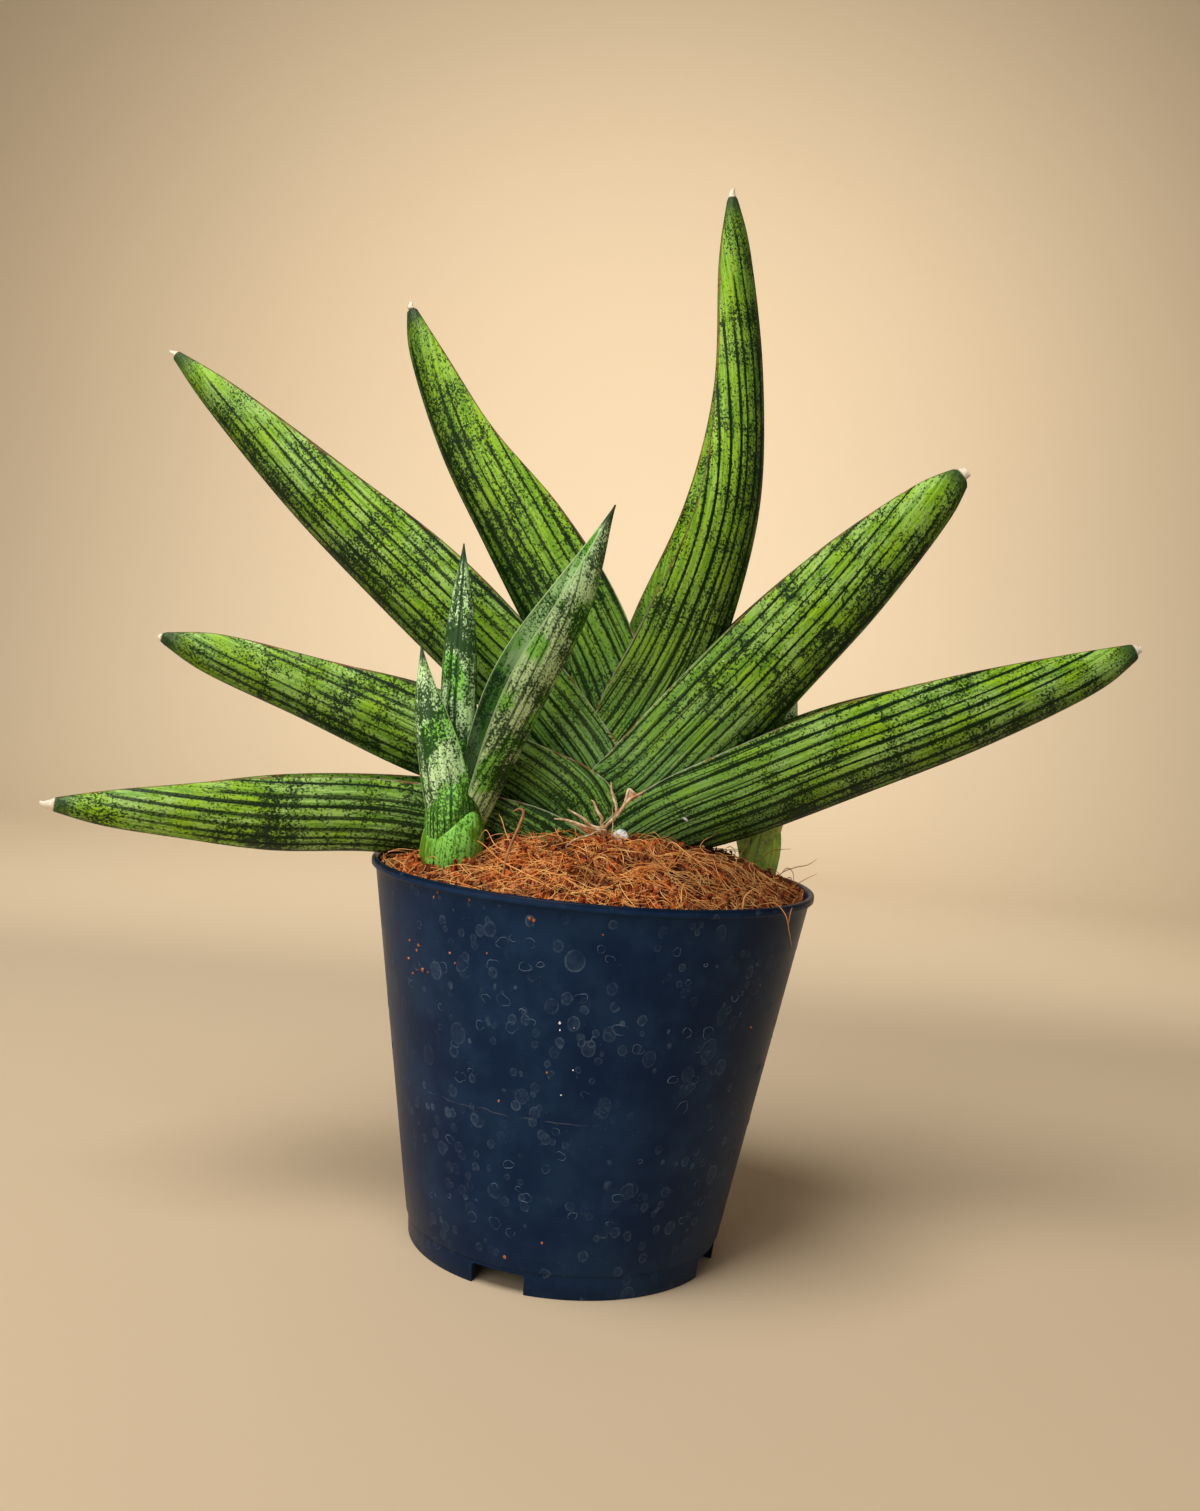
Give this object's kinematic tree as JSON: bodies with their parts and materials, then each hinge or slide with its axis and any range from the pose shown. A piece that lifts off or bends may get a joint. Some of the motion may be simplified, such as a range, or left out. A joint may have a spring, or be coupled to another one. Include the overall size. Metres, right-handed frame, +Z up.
{
  "type": "potted rookie snake plant",
  "caption": "Small snake plant with a flat fan of thick channelled leaves and two pups, in a round tapered nursery pot filled with coir.",
  "frame": {"origin": "middle of the pot's foot, on the surface that it stands on", "axes": "+Z up, -Y towards the front of the plant, X along the fan of leaves"},
  "size_m": [0.3647, 0.15, 0.3573],
  "materials": {
    "pot_plastic": "dark navy moulded plastic, satin, with dried water spots",
    "coir": "dry orange-brown coconut fibre",
    "leaf": "waxy satin skin, yellow-green with dark lengthwise lines and mottled cross bands",
    "young_leaf": "satin skin, silvery green with dark lines and bands",
    "sheath": "thin satin skin, yellow-green with pale papery margins",
    "rhizome": "matt cream fibrous skin",
    "dried_sheath": "dry matt fibre",
    "perlite": "rough white grain"
  },
  "bodies": {
    "root": {"nursery_pot": "pot_plastic", "coir": "coir", "rhizome": "rhizome", "leaf_left_low": "leaf", "leaf_right_low": "leaf", "leaf_left_middle": "leaf", "leaf_right_middle": "leaf", "leaf_left_high": "leaf", "leaf_right_high": "leaf", "leaf_left_top": "leaf", "pup_front_sheath_low": "sheath", "pup_front_sheath_high": "sheath", "pup_front_leaf_left": "young_leaf", "pup_front_leaf_right": "young_leaf", "pup_front_leaf_middle": "young_leaf", "pup_rear_sheath": "sheath", "pup_rear_leaf_right": "young_leaf", "pup_rear_leaf_left": "young_leaf", "pup_rear_leaf_middle": "young_leaf", "dried_sheath_threads": "dried_sheath", "perlite_chip": "perlite"}
  },
  "joints": []
}
